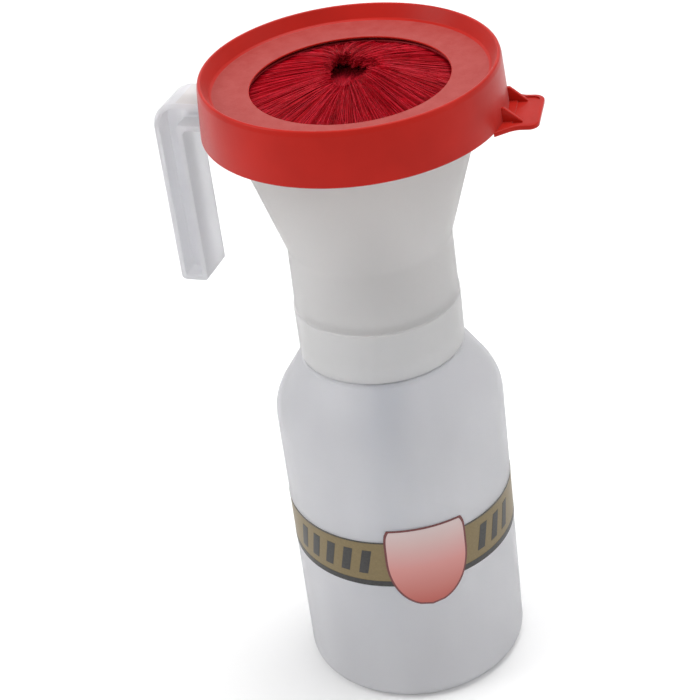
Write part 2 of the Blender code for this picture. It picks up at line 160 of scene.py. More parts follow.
def bridged(name, rings, materials, cyclic=False):
    """Join a row of equal rings into a closed body, with end caps unless the row is cyclic."""
    bm = bmesh.new()
    rows = [[bm.verts.new(point) for point in ring] for ring in rings]
    count = len(rows[0])
    spans = len(rows) if cyclic else len(rows) - 1
    for i in range(spans):
        here = rows[i]
        there = rows[(i + 1) % len(rows)]
        for j in range(count):
            k = (j + 1) % count
            bm.faces.new((here[j], here[k], there[k], there[j]))
    if not cyclic:
        bm.faces.new(rows[0][::-1])
        bm.faces.new(rows[-1])
    return new_object(name, bm, materials)


def combine(obj, other, operation):
    """Union or difference with another solid, applied to the mesh, and the other solid is removed."""
    modifier = obj.modifiers.new(operation, 'BOOLEAN')
    modifier.operation = operation
    modifier.object = other
    modifier.solver = 'EXACT'
    apply_modifiers(obj)
    bpy.data.objects.remove(other, do_unlink=True)


def apply_modifiers(obj):
    depsgraph = bpy.context.evaluated_depsgraph_get()
    mesh = bpy.data.meshes.new_from_object(obj.evaluated_get(depsgraph))
    obj.modifiers.clear()
    old = obj.data
    obj.data = mesh
    bpy.data.meshes.remove(old)


def shade(obj, angle):
    obj.data.shade_smooth()
    obj.data.set_sharp_from_angle(angle=math.radians(angle))


# ---------------------------------------------------------------- materials

def principled(name, color, roughness, **sockets):
    """A Principled material with plain values on the shader's own sockets."""
    material = bpy.data.materials.new(name)
    material.use_nodes = True
    shader = material.node_tree.nodes["Principled BSDF"]
    shader.inputs["Base Color"].default_value = (*color, 1.0)
    shader.inputs["Roughness"].default_value = roughness
    for socket, value in sockets.items():
        shader.inputs[socket.replace("_", " ")].default_value = value
    return material, shader


def noise(tree, scale, detail=3.0, roughness=0.5, stretch=(1, 1, 1)):
    """Noise in object space, in turns per metre, stretched along the axes."""
    place = tree.nodes.new("ShaderNodeTexCoord")
    mapping = tree.nodes.new("ShaderNodeMapping")
    mapping.inputs["Scale"].default_value = stretch
    texture = tree.nodes.new("ShaderNodeTexNoise")
    texture.inputs["Scale"].default_value = scale
    texture.inputs["Detail"].default_value = detail
    texture.inputs["Roughness"].default_value = roughness
    tree.links.new(place.outputs["Object"], mapping.inputs["Vector"])
    tree.links.new(mapping.outputs["Vector"], texture.inputs["Vector"])
    return texture.outputs["Fac"]


def tint(tree, shader, factor, dark, light, low=0.3, high=0.7):
    """Base colour that varies between two tones with a factor."""
    ramp = tree.nodes.new("ShaderNodeValToRGB")
    ramp.color_ramp.elements[0].position = low
    ramp.color_ramp.elements[0].color = (*dark, 1.0)
    ramp.color_ramp.elements[1].position = high
    ramp.color_ramp.elements[1].color = (*light, 1.0)
    tree.links.new(factor, ramp.inputs["Fac"])
    tree.links.new(ramp.outputs["Color"], shader.inputs["Base Color"])


def vary(tree, socket, factor, low, high):
    """A value socket that varies between two values with a factor."""
    spread = tree.nodes.new("ShaderNodeMapRange")
    spread.inputs["To Min"].default_value = low
    spread.inputs["To Max"].default_value = high
    tree.links.new(factor, spread.inputs["Value"])
    tree.links.new(spread.outputs["Result"], socket)


def bump(tree, shader, height, strength, distance):
    node = tree.nodes.new("ShaderNodeBump")
    node.inputs["Strength"].default_value = strength
    node.inputs["Distance"].default_value = distance
    tree.links.new(height, node.inputs["Height"])
    tree.links.new(node.outputs["Normal"], shader.inputs["Normal"])


def climb(tree, start, end):
    """A factor that goes from 0 to 1 between two heights in millimetres, in object space."""
    place = tree.nodes.new("ShaderNodeTexCoord")
    split = tree.nodes.new("ShaderNodeSeparateXYZ")
    tree.links.new(place.outputs["Object"], split.inputs["Vector"])
    spread = tree.nodes.new("ShaderNodeMapRange")
    spread.inputs["From Min"].default_value = start * MM
    spread.inputs["From Max"].default_value = end * MM
    tree.links.new(split.outputs["Z"], spread.inputs["Value"])
    return spread.outputs["Result"]


def milky_material(name, dark, light, fade=None):
    """Low-density polyethylene: milky, waxy, with faint flow waves from moulding. Where the fade gives two
    heights, the colour goes from dark at the first to light at the second: painted shade, darker towards the
    top."""
    material, shader = principled(name, light, 0.5, IOR=1.50,
                                  Subsurface_Weight=0.35, Subsurface_Scale=0.004,
                                  Transmission_Weight=0.65)
    shader.inputs["Subsurface Radius"].default_value = (1.0, 1.0, 1.0)
    tree = material.node_tree
    waves = noise(tree, 55, 2.0, 0.45, (1, 1, 0.35))
    if fade:
        tint(tree, shader, climb(tree, *fade), dark, light, 0.0, 1.0)
    else:
        tint(tree, shader, waves, dark, light)
    grain = noise(tree, 900, 4.0, 0.6)
    vary(tree, shader.inputs["Roughness"], grain, 0.44, 0.56)
    bump(tree, shader, waves, 0.35, 0.0009)
    return material


def red_material():
    """Glossy red polypropylene with a faint moulded grain and fine scuffs."""
    material, shader = principled("red_polypropylene", (0.40, 0.010, 0.007), 0.32,
                                  Specular_IOR_Level=0.13, Sheen_Weight=0.10, Sheen_Roughness=0.40)
    tree = material.node_tree
    cloud = noise(tree, 60, 3.0, 0.5)
    tint(tree, shader, cloud, (0.365, 0.009, 0.004), (0.435, 0.012, 0.006))
    grain = noise(tree, 1400, 3.0, 0.6)
    vary(tree, shader.inputs["Roughness"], grain, 0.28, 0.42)
    bump(tree, shader, grain, 0.10, 0.0001)
    return material


def dull_red_material():
    """The lid's flat top: the same red, rubbed dull, with a paler, pinker tone that is partly dust and
    partly painted reflection of the bright surroundings.
    """
    material, shader = principled("red_polypropylene_dust_and_sheen", (0.40, 0.035, 0.03), 0.52,
                                  Specular_IOR_Level=0.45)
    tree = material.node_tree
    dust_and_sheen = noise(tree, 260, 6.0, 0.7)
    # Both tones are pinker than the skirt's red: partly dust, partly painted reflection on the upward faces.
    tint(tree, shader, dust_and_sheen, (0.30, 0.017, 0.013), (0.35, 0.042, 0.035))
    grain = noise(tree, 1800, 4.0, 0.6)
    vary(tree, shader.inputs["Roughness"], grain, 0.44, 0.60)
    bump(tree, shader, grain, 0.15, 0.0001)
    return material


def plain_plastic(name, dark, light, roughness, grain_scale=700):
    """A moulded plastic with a light grain."""
    material, shader = principled(name, light, roughness)
    tree = material.node_tree
    grain = noise(tree, grain_scale, 4.0, 0.6)
    tint(tree, shader, grain, dark, light)
    bump(tree, shader, grain, 0.15, 0.0001)
    return material


def tube_material():
    """Pale blue translucent tube."""
    material, shader = principled("blue_tube", (0.13, 0.32, 0.60), 0.30, Subsurface_Weight=0.3,
                                  Subsurface_Scale=0.002, Transmission_Weight=0.25)
    tree = material.node_tree
    streaks = noise(tree, 300, 2.0, 0.5, (1, 1, 0.1))
    tint(tree, shader, streaks, (0.10, 0.28, 0.55), (0.16, 0.36, 0.64))
    return material


def steel_material():
    """Thin steel strip in dark red, partly a guessed lacquer and partly painted shade, so the gap under the
    lid's back edge reads dark red.
    """
    material, shader = principled("steel_lacquer_and_shade", (0.35, 0.006, 0.012), 0.5, Metallic=0.2)
    tree = material.node_tree
    drawn = noise(tree, 500, 3.0, 0.6, (1, 1, 6))
    tint(tree, shader, drawn, (0.30, 0.004, 0.010), (0.40, 0.008, 0.014))
    vary(tree, shader.inputs["Roughness"], drawn, 0.42, 0.60)
    return material


def nylon_material(name, color, roughness):
    """One tone of dyed nylon filament, unevenly taken up along its length. The pink tone is partly dye and
    partly painted highlight.
    """
    material, shader = principled(name, color, roughness, Specular_IOR_Level=0.08)
    tree = material.node_tree
    dye = noise(tree, 350, 2.0, 0.5)
    tint(tree, shader, dye, tuple(0.90 * part for part in color), tuple(1.08 * part for part in color))
    return material


def ink_material(name, dark, light, roughness=0.42):
    """Screen-printed ink with a slightly uneven film."""
    material, shader = principled(name, light, roughness)
    tree = material.node_tree
    film = noise(tree, 1500, 4.0, 0.65)
    tint(tree, shader, film, dark, light, 0.35, 0.65)
    return material


def badge_material(low, high):
    """Salmon ink, paler towards the middle of the badge."""
    material, shader = principled("ink_salmon", (0.80, 0.36, 0.30), 0.42)
    tree = material.node_tree
    ramp = tree.nodes.new("ShaderNodeValToRGB")
    ramp.color_ramp.elements[0].position = 0.05
    ramp.color_ramp.elements[0].color = (0.40, 0.085, 0.065, 1.0)
    ramp.color_ramp.elements[1].position = 0.95
    ramp.color_ramp.elements[1].color = (0.53, 0.42, 0.41, 1.0)
    middle = ramp.color_ramp.elements.new(0.5)
    middle.color = (0.53, 0.225, 0.205, 1.0)
    tree.links.new(climb(tree, low, high), ramp.inputs["Fac"])
    tree.links.new(ramp.outputs["Color"], shader.inputs["Base Color"])
    return material


# ---------------------------------------------------------------- bottle

NECK_RADIUS = 21.4
NECK_BORE = 19.8
LEDGE_HEIGHT = 114.2
COLLAR_RADIUS = 24.85  # a short collar flush with the cup's skirt
COLLAR_FOOT = 112.8
SHOULDER_START = 93.0
SHOULDER_ARC = 14.0
SHOULDER_TURN = 35  # degrees of bend before the side runs on as a straight cone
THREAD_PITCH = 4.2
THREAD_START = 119.3
NECK_CREST = 22.7
BODY_WALL = 1.2


def thread_ridge(name, wall_radius, crest_radius, start_height, materials):
    """A helical ridge of rounded section whose ends run out into the wall."""
    turns = 1.5
    flats = 96
    steps = round(turns * flats)
    run_out = 8
    outward = 1.0 if crest_radius > wall_radius else -1.0
    buried = wall_radius - outward * 0.4
    rings = []
    for step in range(steps + 1):
        angle = math.tau * step / flats
        height = start_height + THREAD_PITCH * step / flats
        rise = min(1.0, step / run_out, (steps - step) / run_out)
        crest = buried + (crest_radius - buried) * (0.1 + 0.9 * rise)
        ring = []
        for part in range(9):
            across = -1 + part / 4
            lift = (1 - across ** 4) * (crest - buried)
            r = buried + lift
            z = height + across * 0.85
            ring.append((r * math.cos(angle), r * math.sin(angle), z))
        rings.append(ring)
    return bridged(name, rings, materials)


def make_bottle(milky):
    heel = 4.0
    recess = 0.9
    arc_r = BODY_RADIUS - SHOULDER_ARC
    outline = [(0, 0), (7.6, 0, 1.0), (9.6, recess, 1.0), (22.4, recess, 1.0), (24.2, 0, 1.0)]
    outline += arc((BODY_RADIUS - heel, heel), heel, -90, 0, 10)
    outline += arc((arc_r, SHOULDER_START), SHOULDER_ARC, 0, SHOULDER_TURN, 12)
    outline += [(COLLAR_RADIUS, COLLAR_FOOT, 2.0), (COLLAR_RADIUS, LEDGE_HEIGHT, 0.3)]
    outline += [(NECK_RADIUS, LEDGE_HEIGHT, 0.7), (NECK_RADIUS, NECK_TOP, 0.45)]
    outline += [(NECK_BORE, NECK_TOP, 0.45), (NECK_BORE, LEDGE_HEIGHT - BODY_WALL, 1.0)]
    outline += [(COLLAR_RADIUS - 1.6, LEDGE_HEIGHT - BODY_WALL, 1.0)]
    outline += arc((arc_r, SHOULDER_START), SHOULDER_ARC - BODY_WALL, SHOULDER_TURN, 0, 12)
    outline += arc((BODY_RADIUS - heel, heel), heel - BODY_WALL, 0, -90, 8)
    outline += [(24.6, BODY_WALL, 1.0), (22.4, BODY_WALL + recess, 1.0)]
    outline += [(9.6, BODY_WALL + recess, 1.0), (7.6, BODY_WALL, 1.0), (0, BODY_WALL)]
    bottle = turned("bottle_shell", rounded(outline), [milky])
    ridge = thread_ridge("neck_ridge", NECK_RADIUS, NECK_CREST, THREAD_START, [milky])
    combine(bottle, ridge, 'UNION')
    shade(bottle, 35)
    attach(bottle, "bottle")
    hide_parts("bottle")


# ---------------------------------------------------------------- printed band

PRINT_RADIUS = BODY_RADIUS + 0.03
PRINT_FILM = 0.05
BADGE_AZIMUTH = -58.5


def printed_patch(name, low, high, center, half_width, layer, materials):
    """A thin patch of ink round the bottle. Its middle and half width, in millimetres along the
    surface, are functions of the height."""
    rows = 40
    columns = 24
    inner = PRINT_RADIUS + layer * PRINT_FILM
    outer = inner + PRINT_FILM
    bm = bmesh.new()
    sheets = []
    for radius in (inner, outer):
        sheet = []
        for i in range(rows + 1):
            height = low + (high - low) * i / rows
            line = []
            for j in range(columns + 1):
                across = center(height) + half_width(height) * (2 * j / columns - 1)
                angle = math.radians(BADGE_AZIMUTH) + across / BODY_RADIUS
                line.append(bm.verts.new((radius * math.cos(angle), radius * math.sin(angle), height)))
            sheet.append(line)
        sheets.append(sheet)
    inside, outside = sheets
    for i in range(rows):
        for j in range(columns):
            for sheet in sheets:
                bm.faces.new((sheet[i][j], sheet[i][j + 1], sheet[i + 1][j + 1], sheet[i + 1][j]))
        for j in (0, columns):
            bm.faces.new((inside[i][j], inside[i + 1][j], outside[i + 1][j], outside[i][j]))
    for j in range(columns):
        for i in (0, rows):
            bm.faces.new((inside[i][j], inside[i][j + 1], outside[i][j + 1], outside[i][j]))
    patch = new_object(name, bm, materials)
    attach(patch, "bottle")
    return patch


def ink_ring(name, low, high, layer, material):
    inner = PRINT_RADIUS + layer * PRINT_FILM
    outer = inner + PRINT_FILM
    ring = turned(name, [(inner, low), (outer, low), (outer, high), (inner, high)], [material])
    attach(ring, "bottle")
    return ring


def make_print():
    beige = ink_material("ink_beige", (0.150, 0.108, 0.040), (0.180, 0.130, 0.052))
    black = ink_material("ink_black", (0.012, 0.012, 0.012), (0.03, 0.028, 0.026))
    outline = ink_material("ink_outline", (0.10, 0.02, 0.02), (0.16, 0.03, 0.03))
    low, high = band_low.z, band_high.z

    band = ink_ring("band_ink", low, high, 0, beige)
    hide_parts("print_band")
    ink_ring("band_edge_top", high - 0.5, high, 1, black)
    ink_ring("band_edge_foot", low, low + 2.0, 1, black)

    # A plain shield badge stands over the band, with slanted bars on both sides of it.
    badge_low = low - 8.5
    badge_high = high + 4.5
    shoulder = 0.62

    def shield(height, inset):
        share = (height - badge_low - inset) / (badge_high - badge_low - 2 * inset)
        share = min(max(share, 0.0), 1.0)
        full = 13.0 - inset
        if share > shoulder:
            corner = (share - shoulder) / (1 - shoulder)
            return full * (1 - 0.10 * corner ** 6)
        return full * math.sqrt(max(1 - ((shoulder - share) / shoulder) ** 2.2, 0.0))

    salmon = badge_material(badge_low, badge_high)
    rim = 0.7
    printed_patch("badge_edge", badge_low, badge_high, lambda z: 0.0,
                  lambda z: shield(z, 0.0), 2, [outline])
    printed_patch("badge_face", badge_low + rim, badge_high - rim, lambda z: 0.0,
                  lambda z: shield(z, rim), 3, [salmon])

    bar_low = low + 4.6
    bar_high = high - 3.4
    middle = (bar_low + bar_high) / 2
    places = [-19.5 - 6.2 * i for i in range(5)] + [19.5 + 6.2 * i for i in range(3)]
    for number, place in enumerate(places):
        printed_patch(f"band_bar_{number}", bar_low, bar_high,
                      lambda z, place=place: place + 0.22 * (z - middle), lambda z: 1.5, 1, [black])


# ---------------------------------------------------------------- cup, seal, standpipe and dip tube

CUP_RADIUS = 24.3
CUP_WALL = 1.3
CONE_START = 150.9
CONE_SLOPE = 0.299
SKIRT_BOTTOM = 114.6
SKIRT_RADIUS = 24.95
SKIRT_BORE = 23.2
SKIRT_CREST = 21.9     # crest of the ridge inside the skirt
SEAM_HEIGHT = 131.1
SPIGOT_RADIUS = 3.6    # the pipe under the floor, which takes the dip tube, and above it
SPIGOT_BORE = 2.2
SPIGOT_TOP = 140.0
HOOK_TOP = 193.6
HOOK_BOTTOM = 134.3
HOOK_DEPTH = 8.8
HOOK_WIDTH = 13.7
HOOK_FLANGE = 1.8
HOOK_WEB = 2.0
HOOK_BEND = 8.0


def cone_radius(height):
    return CUP_RADIUS + CONE_SLOPE * (height - CONE_START)


def hook_outline(inset, root_low, root_high, round_end):
    """Outline (x, z) of the hook, moved in by the inset, from the cup out along the arm and down."""
    reach = HOOK_REACH - inset
    top = HOOK_TOP - inset
    bottom = HOOK_BOTTOM + inset
    arm_low = HOOK_TOP - HOOK_DEPTH + inset
    inside = HOOK_REACH - HOOK_DEPTH + inset
    bend = (HOOK_REACH - HOOK_BEND, HOOK_TOP - HOOK_BEND)
    corners = [(root_high, top)]
    corners += arc(bend, HOOK_BEND - inset, 90, 0, 18)
    corners += [(reach, bottom, round_end), (inside, bottom, round_end)]
    corners += [(inside, arm_low, round_end), (root_low, arm_low)]
    return [(-point[0], point[1]) for point in rounded(corners)]


def slab(name, outline, low, high, materials=()):
    """Extrude a closed (x, z) outline along Y."""
    rings = [[(x, y, z) for x, z in outline] for y in (low, high)]
    return bridged(name, rings, materials)


def soften(obj, width, segments=2, angle=40):
    """Round the edges of a solid, limited to its sharp edges, and apply it."""
    modifier = obj.modifiers.new("soften", 'BEVEL')
    modifier.width = width * MM
    modifier.segments = segments
    modifier.limit_method = 'ANGLE'
    modifier.angle_limit = math.radians(angle)
    apply_modifiers(obj)


def make_hook(milky):
    arm_low = HOOK_TOP - HOOK_DEPTH
    in_wall = 0.7
    outline = hook_outline(0.0, cone_radius(arm_low) - in_wall, cone_radius(HOOK_TOP) - in_wall, 1.5)
    hook = slab("hook_strap", outline, -HOOK_WIDTH / 2, HOOK_WIDTH / 2, [milky])
    pocket_start = cone_radius(HOOK_TOP) + 1.6
    pocket = hook_outline(HOOK_FLANGE, pocket_start - 1.2, pocket_start, 0.9)
    deep = HOOK_WIDTH / 2 + 1.0
    combine(hook, slab("pocket_near", pocket, -deep, -HOOK_WEB / 2), 'DIFFERENCE')
    combine(hook, slab("pocket_far", pocket, HOOK_WEB / 2, deep), 'DIFFERENCE')
    soften(hook, 0.3, 2, 50)
    return hook


def make_cup(milky, hook_plastic):
    wall_across = CUP_WALL * math.hypot(1.0, CONE_SLOPE)
    bore = CUP_RADIUS - CUP_WALL
    floor_low, floor_high = 130.5, 132.3
    flange_low = FLANGE_TOP - 1.6
    lip = cone_radius(FLANGE_TOP) - wall_across
    outline = [(SPIGOT_BORE, SPIGOT_BOTTOM, 0.3), (SPIGOT_RADIUS, SPIGOT_BOTTOM, 0.5)]
    outline += [(SPIGOT_RADIUS, floor_low, 0.5)]
    outline += [(SKIRT_BORE, floor_low, 0.4), (SKIRT_BORE, SKIRT_BOTTOM, 0.5)]
    outline += [(SKIRT_RADIUS, SKIRT_BOTTOM, 0.5)]
    outline += [(SKIRT_RADIUS, SEAM_HEIGHT - 0.25, 0.2), (24.58, SEAM_HEIGHT + 0.15, 0.25)]
    outline += [(CUP_RADIUS, CONE_START, 7.0)]
    outline += [(cone_radius(flange_low), flange_low, 0.6), (FLANGE_RADIUS, flange_low, 0.4)]
    outline += [(FLANGE_RADIUS, FLANGE_TOP, 0.5), (lip, FLANGE_TOP, 0.5)]
    outline += [(bore, CONE_START + 0.4, 6.0), (bore, floor_high, 1.2)]
    outline += [(SPIGOT_RADIUS, floor_high, 0.5), (SPIGOT_RADIUS, SPIGOT_TOP, 0.4)]
    outline += [(SPIGOT_BORE, SPIGOT_TOP, 0.3)]
    cup = turned("cup_shell", rounded(outline, 6), [milky, hook_plastic])
    start = THREAD_START - THREAD_PITCH / 2  # half a turn's pitch below the ridge on the neck
    combine(cup, thread_ridge("skirt_ridge", SKIRT_BORE, SKIRT_CREST, start, [milky]), 'UNION')
    combine(cup, make_hook(milky), 'UNION')
    for face in cup.data.polygons:
        face.material_index = 1 if face.center.x / MM < -FLANGE_RADIUS - 0.5 else 0
    shade(cup, 35)
    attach(cup, "cup")
    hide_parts("cup")


def make_seal():
    foam = plain_plastic("seal_foam", (0.78, 0.78, 0.75), (0.88, 0.88, 0.86), 0.8, 1500)
    inner, outer = 19.9, seal_high.y
    low, high = seal_low.z, seal_high.z
    outline = [(inner, low, 0.3), (outer, low, 0.3), (outer, high, 0.3), (inner, high, 0.3)]
    seal = turned("seal_washer", rounded(outline), [foam])
    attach(seal, "seal")
    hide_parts("neck_seal")


def make_standpipe(milky):
    radius = pipe_high.y
    bore = 3.9
    low, high = pipe_low.z, pipe_high.z
    crown = high - 1.5
    outline = [(bore, low, 0.3), (radius, low, 0.3), (radius, high, 1.2)]
    outline += [(0, high), (0, crown), (bore, crown, 0.6)]
    pipe = turned("standpipe_cap", rounded(outline), [milky], 64)
    port_height = 145.5
    for number in range(2):
        bm = bmesh.new()
        bmesh.ops.create_cone(bm, cap_ends=True, segments=32, radius1=1.6, radius2=1.6, depth=4 * radius)
        turn = Matrix.Rotation(math.radians(90), 4, 'Y' if number else 'X')
        bmesh.ops.transform(bm, matrix=Matrix.Translation((0, 0, port_height)) @ turn, verts=bm.verts)
        combine(pipe, new_object(f"port_{number}", bm, [milky]), 'DIFFERENCE')
    shade(pipe, 35)
    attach(pipe, "cup")
    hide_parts("standpipe")


def make_dip_tube():
    """The tube hangs straight from the spigot, then leans to the side where the CAD tube's foot is."""
    radius = tube_high.y
    bore = radius - 1.0
    foot = Vector((tube_low.x + radius, tube_low.y + radius, 0))
    top, bend, end = tube_high.z, SPIGOT_BOTTOM - 2, tube_low.z
    steps = 48
    sides = 40
    centers = [Vector((0, 0, top))]
    for step in range(steps + 1):
        share = step / steps
        center = foot * share ** 1.3
        center.z = bend + (end - bend) * share
        centers.append(center)

    def ring(center, size):
        angles = [math.tau * side / sides for side in range(sides)]
        return [(center.x + size * math.cos(a), center.y + size * math.sin(a), center.z) for a in angles]

    rings = [ring(center, radius) for center in centers]
    rings += [ring(center, bore) for center in reversed(centers)]
    tube = bridged("dip_tube_blue", rings, [tube_material()], cyclic=True)
    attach(tube, "cup")
    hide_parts("dip_tube")


# ---------------------------------------------------------------- lid

MOUTH_RADIUS = 28.3
MOUTH_TOP = 200.6
PLATE = 1.3
PLATE_SLOPE = 0.04
TAB_AZIMUTH = 8.8
TAB_REACH = 52.95
TAB_WIDTH = 19.5
TAB_THICKNESS = 1.5
TAB_FLARE = 4.2  # how much wider each side of the paddle is where it meets the skirt
TAB_TOP = lid_low.z + TAB_THICKNESS


def plate_height(radius):
    return MOUTH_TOP + PLATE_SLOPE * (radius - MOUTH_RADIUS)


def make_lid(red, dull_red):
    skirt_low = TAB_TOP - 0.6
    rim = LID_SKIRT_RADIUS - 1.1
    inside = rim - 1.2
    lip = rim - 2.4
    under = plate_height(inside) - PLATE
    outline = [(LID_SKIRT_RADIUS - 1.5, skirt_low, 0.4), (LID_SKIRT_RADIUS, skirt_low, 0.5)]
    outline += [(rim + 0.05, LID_TOP - 1.4, 3.0), (rim - 0.35, LID_TOP, 0.7), (rim - 1.2, LID_TOP, 0.5)]
    outline += [(lip - 0.6, plate_height(lip) + 0.5, 0.8), (lip - 1.3, plate_height(lip), 0.4)]
    outline += [(MOUTH_RADIUS, MOUTH_TOP, 0.25), (MOUTH_RADIUS + 0.1, MOUTH_TOP - 0.5, 0.2)]
    outline += [(MOUTH_RADIUS + 1.6, MOUTH_TOP - PLATE, 0.6), (inside, under, 0.8)]
    outline += [(inside + 0.1, 195.7, 0.5), (inside - 0.05, 195.0, 0.3), (inside + 0.4, 194.3, 0.4)]
    lid = turned("lid_shell", rounded(outline, 6), [red, dull_red], 192)

    notch_half, notch_top = 7.7, 194.3
    notch_outside, notch_inside, notch_foot = -46, -38, skirt_low - 3
    notch = rounded([(notch_outside, notch_foot), (notch_inside, notch_foot),
                     (notch_inside, notch_top), (notch_outside, notch_top)])
    cutter = slab("notch_cutter", notch, -notch_half, notch_half)
    combine(lid, cutter, 'DIFFERENCE')
    combine(lid, make_tab(red), 'UNION')
    # The plate's upward faces take the top's material, whose pinker tone is partly painted reflection.
    for face in lid.data.polygons:
        across = face.center.xy.length / MM
        on_plate = MOUTH_RADIUS + 0.3 < across < lip - 1.1 and face.normal.z > 0.9
        face.material_index = 1 if on_plate else 0
    shade(lid, 38)
    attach(lid, "lid")
    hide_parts("lid_ring")


def make_tab(red):
    """Pull tab: a paddle that widens at its root, with a raised border and two gussets up to the skirt."""
    root = LID_SKIRT_RADIUS - 1.0
    half = TAB_WIDTH / 2
    low = TAB_TOP - TAB_THICKNESS

    def corners(start, inset):
        """Outline of the paddle from a straight start, moved in by the inset."""
        reach, side = TAB_REACH - inset, half - inset
        return [(start, -side), (reach, -side, 3.2 - inset), (reach, side, 3.2 - inset), (start, side)]

    waist = LID_SKIRT_RADIUS + 3.0
    solid = corners(waist, 0.0)
    solid[0] = (waist, -half, 6.0)
    solid[-1] = (waist, half, 6.0)
    solid += [(root - 1.4, half + TAB_FLARE), (root - 1.4, -half - TAB_FLARE)]
    rings = [[(x, y, z) for x, y in rounded(solid, 10)] for z in (low, TAB_TOP)]
    tab = bridged("tab_paddle", rings, [red])
    soften(tab, 0.4, 3, 50)
    dip = rounded(corners(root + 3.0, 1.3), 10)
    hollow = [[(x, y, z) for x, y in dip] for z in (TAB_TOP - 0.35, TAB_TOP + 1.0)]
    combine(tab, bridged("tab_hollow", hollow, [red]), 'DIFFERENCE')
    gusset_end, gusset_top, gusset_half = TAB_REACH - 4.6, 193.9, 0.6
    for middle in (-6.5, 6.5):
        web = [(root, low + 0.6), (gusset_end, low + 0.6), (gusset_end, TAB_TOP - 0.05)]
        web += [(LID_SKIRT_RADIUS - 0.1, gusset_top), (root, gusset_top)]
        gusset = slab("gusset", web, middle - gusset_half, middle + gusset_half, [red])
        soften(gusset, 0.2, 2, 30)
        combine(tab, gusset, 'UNION')
    tab.data.transform(Matrix.Rotation(math.radians(TAB_AZIMUTH), 4, 'Z'))
    return tab


# ---------------------------------------------------------------- brush ring

# The pink tone is partly random dye and partly painted highlight standing for the nylon's pink sheen.
CRIMSON = ((0.27, 0.0005, 0.005), (0.42, 0.001, 0.009), (0.60, 0.020, 0.040))
TUFTS = 16
FILAMENT_RADIUS = 0.078
FILAMENTS_PER_TUFT = 720
GATHER = 0.55  # how far the filaments of a pleat close up towards its middle
PATH_POINTS = 10
CHANNEL_MOUTH = 29.2
PLEATS = 6  # in each tuft
ROOT_RADIUS = 31.2
ROOT_LOW, ROOT_HIGH = 195.3, 197.9


def make_brush_parts(crimson):
    steel = steel_material()
    # The carrier's near-black red is painted shade: it darkens the gap under the lid's back edge.
    dark_red = plain_plastic("carrier_shade_red", (0.10, 0.008, 0.008), (0.16, 0.012, 0.012), 0.5)
    wall = channel_high.y + 0.3
    shelf = channel_low.z - 0.3
    flange_low = FLANGE_TOP + 0.3
    mouth = CHANNEL_MOUTH + 1.3
    outline = [(mouth, shelf - 0.8, 0.2), (wall + 0.7, shelf - 0.8, 0.3), (wall + 1.8, flange_low, 0.4)]
    outline += [(carrier_high.y, flange_low, 0.3), (carrier_high.y, carrier_high.z, 0.4)]
    outline += [(wall, carrier_high.z, 0.4), (wall, shelf, 0.2), (mouth, shelf, 0.2)]
    carrier = turned("carrier_ring", rounded(outline), [dark_red])
    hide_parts("brush_carrier")

    thick = 0.6
    low, high, back = channel_low.z, channel_high.z, channel_high.y
    outline = [(CHANNEL_MOUTH, low, 0.2), (back, low, 0.7), (back, high, 0.7), (CHANNEL_MOUTH, high, 0.2)]
    outline += [(CHANNEL_MOUTH, high - thick, 0.2), (back - thick, high - thick, 0.3)]
    outline += [(back - thick, low + thick, 0.3), (CHANNEL_MOUTH, low + thick, 0.2)]
    channel = turned("channel_ring", rounded(outline), [steel])
    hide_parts("brush_channel")

    wire_radius = (wire_high.z - wire_low.z) / 2
    center = (wire_high.y - wire_radius, (wire_high.z + wire_low.z) / 2)
    wire = turned("core_wire_ring", arc(center, wire_radius, 0, 345, 23), [steel])
    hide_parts("brush_core_wire")

    roots = frame["nodes"]["bristle_roots"]
    roots.data.materials.clear()
    roots.data.materials.append(crimson)
    for piece in (carrier, channel, wire):
        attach(piece, "brush")


# Where the upper filaments end: azimuth of the root in degrees, then x, y and z of the tip in millimetres.
# They leave a round hole towards -X and a dip behind a crest that climbs towards +X.
UPPER_TIPS = (
    (-180, -7.6, 2.6, 202.0), (-150, -6.8, -0.4, 201.3), (-120, -4.2, -3.4, 200.5), (-95, -1.8, -4.6, 200.0),
    (-75, 0.4, -3.6, 200.2), (-58, 1.8, -1.8, 200.9), (-42, 3.6, -0.4, 201.9), (-25, 5.8, 1.0, 202.7),
    (-5, 8.0, 2.2, 203.2), (18, 9.4, 3.8, 203.4), (42, 6.6, 7.4, 203.1), (68, 2.4, 8.6, 203.5),
    (95, -2.2, 8.8, 204.0), (125, -6.4, 8.2, 204.1), (155, -8.0, 5.6, 203.0), (180, -7.6, 2.6, 202.0),
)
HOLE_CENTER = (-3.2, 1.4)
HOLE_RADIUS = 5.6
HOLE_FOOT = 197.3  # height of the filaments' tips round the lower part of the hole
DROOP_SHARE = 0.36  # the lowest filaments close most of the hole further down
DROOP_RADIUS = 0.2
DROOP_FOOT = 196.1
STRAY_SHARE = 0.006  # single filaments that stand up out of the brush


def upper_tip(azimuth):
    """Tips of the upper filaments, interpolated along the azimuths, which are in radians."""
    table = np.array(UPPER_TIPS)
    turn = (np.degrees(azimuth) + 180) % 360 - 180
    return np.stack([np.interp(turn, table[:, 0], table[:, column]) for column in (1, 2, 3)], axis=-1)


def lower_tip(root, radius, height):
    """Tips where a line from each root to the hole's middle comes within the radius."""
    away = root - np.array(HOLE_CENTER)
    edge = np.array(HOLE_CENTER) + radius * away / np.linalg.norm(away, axis=1, keepdims=True)
    return np.column_stack([edge, np.full(len(root), height)])


